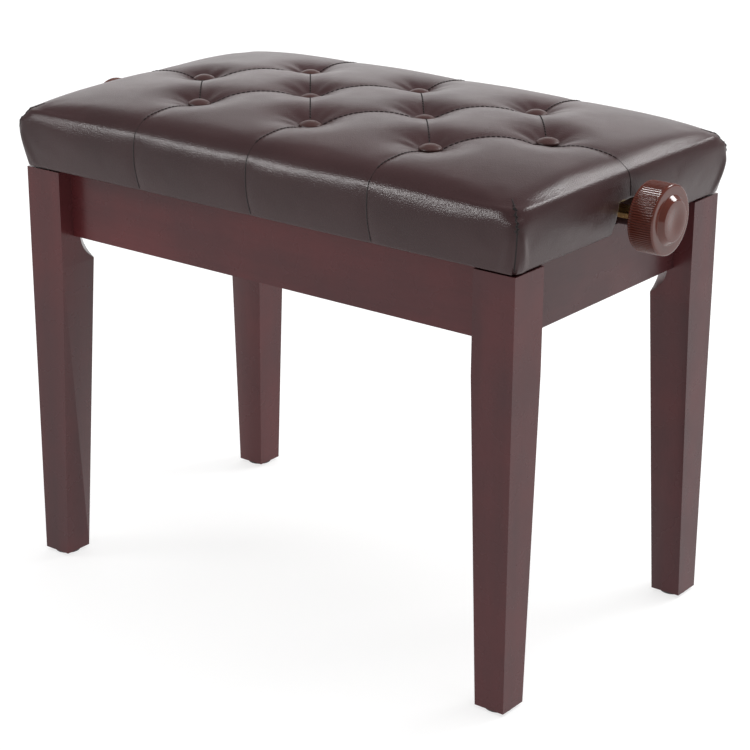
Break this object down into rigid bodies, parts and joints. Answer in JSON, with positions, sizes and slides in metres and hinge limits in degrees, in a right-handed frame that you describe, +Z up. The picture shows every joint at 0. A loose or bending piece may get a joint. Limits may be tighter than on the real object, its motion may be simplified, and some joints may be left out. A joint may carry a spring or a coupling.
{
  "type": "piano bench",
  "caption": "Rectangular adjustable bench with a tufted leather seat box on four tapered wooden legs; side knobs turn a screw and crossed arms that raise the seat.",
  "frame": {"origin": "centre of the footprint, on the floor under the glides", "axes": "+X along the bench towards the right knob, -Y towards the front, +Z up"},
  "size_m": [0.649, 0.336, 0.4665],
  "materials": {
    "frame_wood": "dark red-brown satin lacquer",
    "pale_wood": "raw",
    "leather": "fine pebble grain, soft sheen",
    "button_leather": "fine grain, soft sheen",
    "foam": "open-cell foam",
    "cord": "twisted cord",
    "bright_steel": "zinc plated",
    "black_steel": "black powder coat",
    "yellow_zinc": "yellow zinc plated",
    "knob_plastic": "gloss",
    "guard_plastic": "matte",
    "glide_plastic": "matte"
  },
  "bodies": {
    "base": {"leg_front_left": "frame_wood", "leg_front_right": "frame_wood", "leg_rear_left": "frame_wood", "leg_rear_right": "frame_wood", "glides": "glide_plastic", "apron_front": "frame_wood", "apron_rear": "frame_wood", "apron_left": "frame_wood", "apron_right": "frame_wood", "corner_block_front_left": "pale_wood", "corner_block_front_right": "pale_wood", "corner_block_rear_left": "pale_wood", "corner_block_rear_right": "pale_wood", "corner_block_screws": "bright_steel", "leg_bolts": "bright_steel", "leg_bolt_washers": "bright_steel", "leg_bolt_nuts": "bright_steel", "base_rail_front": "black_steel", "base_rail_rear": "black_steel", "base_rail_screws": "bright_steel", "base_pivot_pins": "bright_steel", "pivot_washers": "bright_steel"},
    "seat": {"box_front": "pale_wood", "box_rear": "pale_wood", "box_left": "pale_wood", "box_right": "pale_wood", "seat_board": "pale_wood", "foam_pad": "foam", "side_padding": "foam", "seat_cover": "leather", "seat_buttons": "button_leather", "button_ties": "cord", "cover_staples": "bright_steel", "seat_rail_front": "black_steel", "seat_rail_rear": "black_steel", "seat_rail_screws": "bright_steel"},
    "outer_arms_left": {"outer_arm_front_left": "black_steel", "outer_arm_rear_left": "black_steel", "outer_arm_pins_left": "bright_steel"},
    "outer_arms_right": {"outer_arm_front_right": "black_steel", "outer_arm_rear_right": "black_steel", "outer_arm_pins_right": "bright_steel"},
    "inner_arms_left": {"inner_arm_front_left": "black_steel", "inner_arm_rear_left": "black_steel", "inner_arm_pins_left": "bright_steel"},
    "inner_arms_right": {"inner_arm_front_right": "black_steel", "inner_arm_rear_right": "black_steel", "inner_arm_pins_right": "bright_steel"},
    "nut_left": {"nut_bar_left": "bright_steel", "nut_bar_clips_left": "bright_steel"},
    "nut_right": {"nut_bar_right": "bright_steel", "nut_bar_clips_right": "bright_steel"},
    "guard": {"guard_tube": "guard_plastic"},
    "screw": {"spindle": "bright_steel", "hex_shafts": "yellow_zinc", "shaft_couplings": "bright_steel", "knob_left": "knob_plastic", "knob_right": "knob_plastic", "knob_screws": "bright_steel"}
  },
  "joints": [
    {"name": "seat_lift", "type": "slide", "parent": "base", "child": "seat", "axis": [0, 0, 1], "range_m": [0, 0.08]},
    {"name": "outer_arms_left_turn", "type": "hinge", "parent": "base", "child": "outer_arms_left", "pos_m": [-0.226, 0, 0.395], "axis": [0, -1, 0], "range_deg": [-0.5, 23.31]},
    {"name": "inner_arms_left_turn", "type": "hinge", "parent": "outer_arms_left", "child": "inner_arms_left", "pos_m": [-0.11919, 0, 0.411], "axis": [0, -1, 0], "range_deg": [-46.62, 1]},
    {"name": "nut_left_turn", "type": "hinge", "parent": "outer_arms_left", "child": "nut_left", "pos_m": [-0.11919, 0, 0.411], "axis": [0, -1, 0], "range_deg": [-23.31, 0.5]},
    {"name": "outer_arms_right_turn", "type": "hinge", "parent": "base", "child": "outer_arms_right", "pos_m": [0.226, 0, 0.395], "axis": [0, 1, 0], "range_deg": [-0.5, 23.31]},
    {"name": "inner_arms_right_turn", "type": "hinge", "parent": "outer_arms_right", "child": "inner_arms_right", "pos_m": [0.11919, 0, 0.411], "axis": [0, 1, 0], "range_deg": [-46.62, 1]},
    {"name": "nut_right_turn", "type": "hinge", "parent": "outer_arms_right", "child": "nut_right", "pos_m": [0.11919, 0, 0.411], "axis": [0, 1, 0], "range_deg": [-23.31, 0.5]},
    {"name": "guard_rise", "type": "slide", "parent": "base", "child": "guard", "axis": [0, 0, 1], "range_m": [-0.0005, 0.0405]},
    {"name": "screw_turn", "type": "hinge", "parent": "guard", "child": "screw", "pos_m": [0, 0, 0.411], "axis": [1, 0, 0], "range_deg": [-5, 2608]}
  ],
  "couplings": [
    {"joint": "outer_arms_left_turn", "follows": "seat_lift", "rad_per_m": 4.9553},
    {"joint": "inner_arms_left_turn", "follows": "seat_lift", "rad_per_m": -9.9105},
    {"joint": "nut_left_turn", "follows": "seat_lift", "rad_per_m": -4.9553},
    {"joint": "outer_arms_right_turn", "follows": "seat_lift", "rad_per_m": 4.9553},
    {"joint": "inner_arms_right_turn", "follows": "seat_lift", "rad_per_m": -9.9105},
    {"joint": "nut_right_turn", "follows": "seat_lift", "rad_per_m": -4.9553},
    {"joint": "guard_rise", "follows": "seat_lift", "ratio": 0.5},
    {"joint": "screw_turn", "follows": "seat_lift", "rad_per_m": 567.88}
  ]
}
